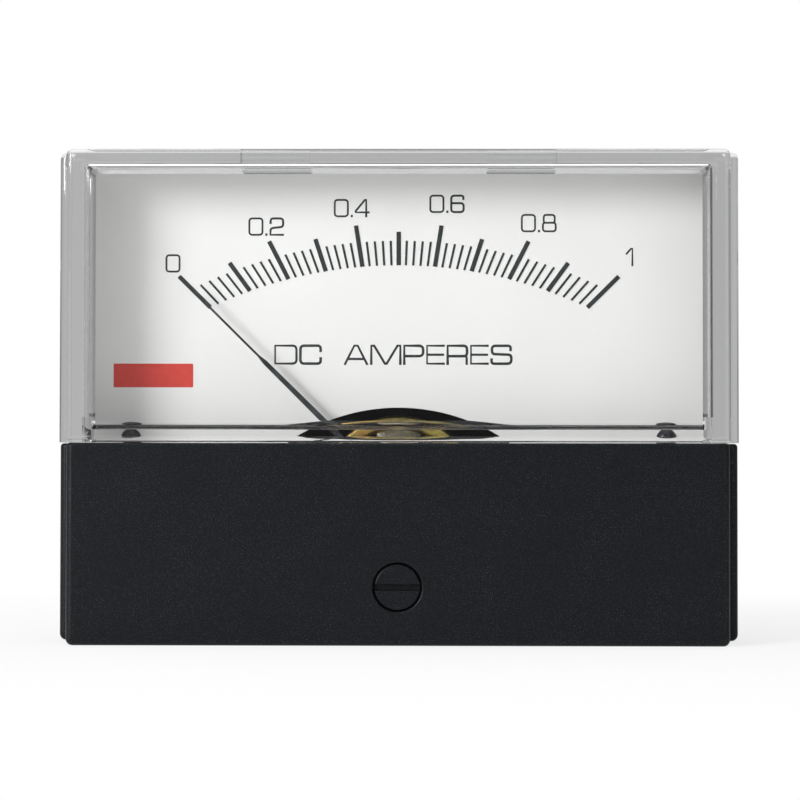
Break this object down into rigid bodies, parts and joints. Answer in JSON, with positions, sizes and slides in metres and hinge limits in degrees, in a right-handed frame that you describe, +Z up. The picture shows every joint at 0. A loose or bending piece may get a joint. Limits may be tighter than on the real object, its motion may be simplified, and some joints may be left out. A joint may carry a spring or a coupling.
{
  "type": "analog panel meter",
  "caption": "Rectangular moving-coil panel meter with a clear stepped cover, black lower mask, white dial and round rear barrel.",
  "frame": {"origin": "the barrel's axis on the panel face, at the centre of the four mounting studs", "axes": "+X to the right as seen from the front, +Y into the panel along the barrel, +Z up"},
  "size_m": [0.083, 0.058, 0.0596],
  "materials": {
    "clear_cover": "clear polished acrylic",
    "black_mask": "black plastic, fine spark-eroded grain",
    "black_case": "black moulded plastic",
    "dial_white": "matt white enamel on aluminium",
    "dial_ink": "black printed ink",
    "black_oxide": "black oxide steel",
    "pointer_black": "aluminium, matt black",
    "bare_aluminium": "bare aluminium",
    "yoke_iron": "soft iron, yellow passivated",
    "magnet": "sintered magnet alloy",
    "plain_brass": "brass",
    "bronze_spring": "phosphor bronze strip",
    "copper_wire": "enamelled copper wire",
    "steel": "bright steel",
    "jewel": "synthetic ruby",
    "zinc_cast": "die-cast zinc alloy",
    "plated_brass": "nickel-plated brass",
    "manganin": "manganin strip"
  },
  "bodies": {
    "meter": {"front_cover": "clear_cover", "front_mask": "black_mask", "zero_retainer": "steel", "housing": "black_case", "dial_plate": "dial_white", "scale_marks": "dial_ink", "dial_screw_left": "black_oxide", "dial_screw_right": "black_oxide", "yoke_ring": "yoke_iron", "core_magnet": "magnet", "core_spacer_top": "zinc_cast", "core_spacer_bottom": "zinc_cast", "movement_plate": "plain_brass", "movement_screw_left": "steel", "movement_screw_right": "steel", "front_bridge": "plain_brass", "front_bridge_screws": "steel", "rear_bridge": "plain_brass", "rear_bridge_screws": "steel", "jewel_screw_front": "plain_brass", "jewel_front": "jewel", "lock_nut_front": "plain_brass", "jewel_screw_rear": "plain_brass", "jewel_rear": "jewel", "lock_nut_rear": "plain_brass", "hairspring_rear": "bronze_spring", "pointer_stops": "black_oxide", "terminal_stud_left": "plain_brass", "terminal_stud_right": "plain_brass", "terminal_tag_left": "plated_brass", "terminal_tag_right": "plated_brass", "terminal_lock_nuts": "plain_brass", "terminal_washers": "steel", "terminal_nuts": "plain_brass", "shunt": "manganin", "swamp_resistor": "copper_wire", "lead_strip_left": "plated_brass", "lead_strip_right": "plated_brass", "mounting_studs": "steel", "mask_screws": "steel"},
    "zero_adjuster": {"zero_screw": "black_mask"},
    "zero_lever": {"zero_lever": "plain_brass", "hairspring_front": "bronze_spring"},
    "moving_coil": {"coil_former": "bare_aluminium", "coil_winding": "copper_wire", "pivot_front": "steel", "pivot_rear": "steel", "pointer": "pointer_black", "balance_arms": "bare_aluminium", "tail_weight": "plain_brass", "side_weights": "plain_brass"}
  },
  "joints": [
    {"name": "zero_turn", "type": "hinge", "parent": "meter", "child": "zero_adjuster", "pos_m": [0, -0.012, -0.02055], "axis": [0, 1, 0], "range_deg": [-60, 60]},
    {"name": "lever_swing", "type": "hinge", "parent": "meter", "child": "zero_lever", "pos_m": [0, -0.0097, -0.0097], "axis": [0, 1, 0], "range_deg": [-3.75, 3.75]},
    {"name": "pointer_swing", "type": "hinge", "parent": "meter", "child": "moving_coil", "pos_m": [0, -0.0025, -0.0097], "axis": [0, 1, 0], "range_deg": [-2, 92.5], "stiffness_Nm_per_rad": 0.00005, "deforming": ["hairspring_front", "hairspring_rear"]}
  ],
  "couplings": [
    {"joint": "zero_turn", "follows": "lever_swing", "ratio": -16}
  ]
}
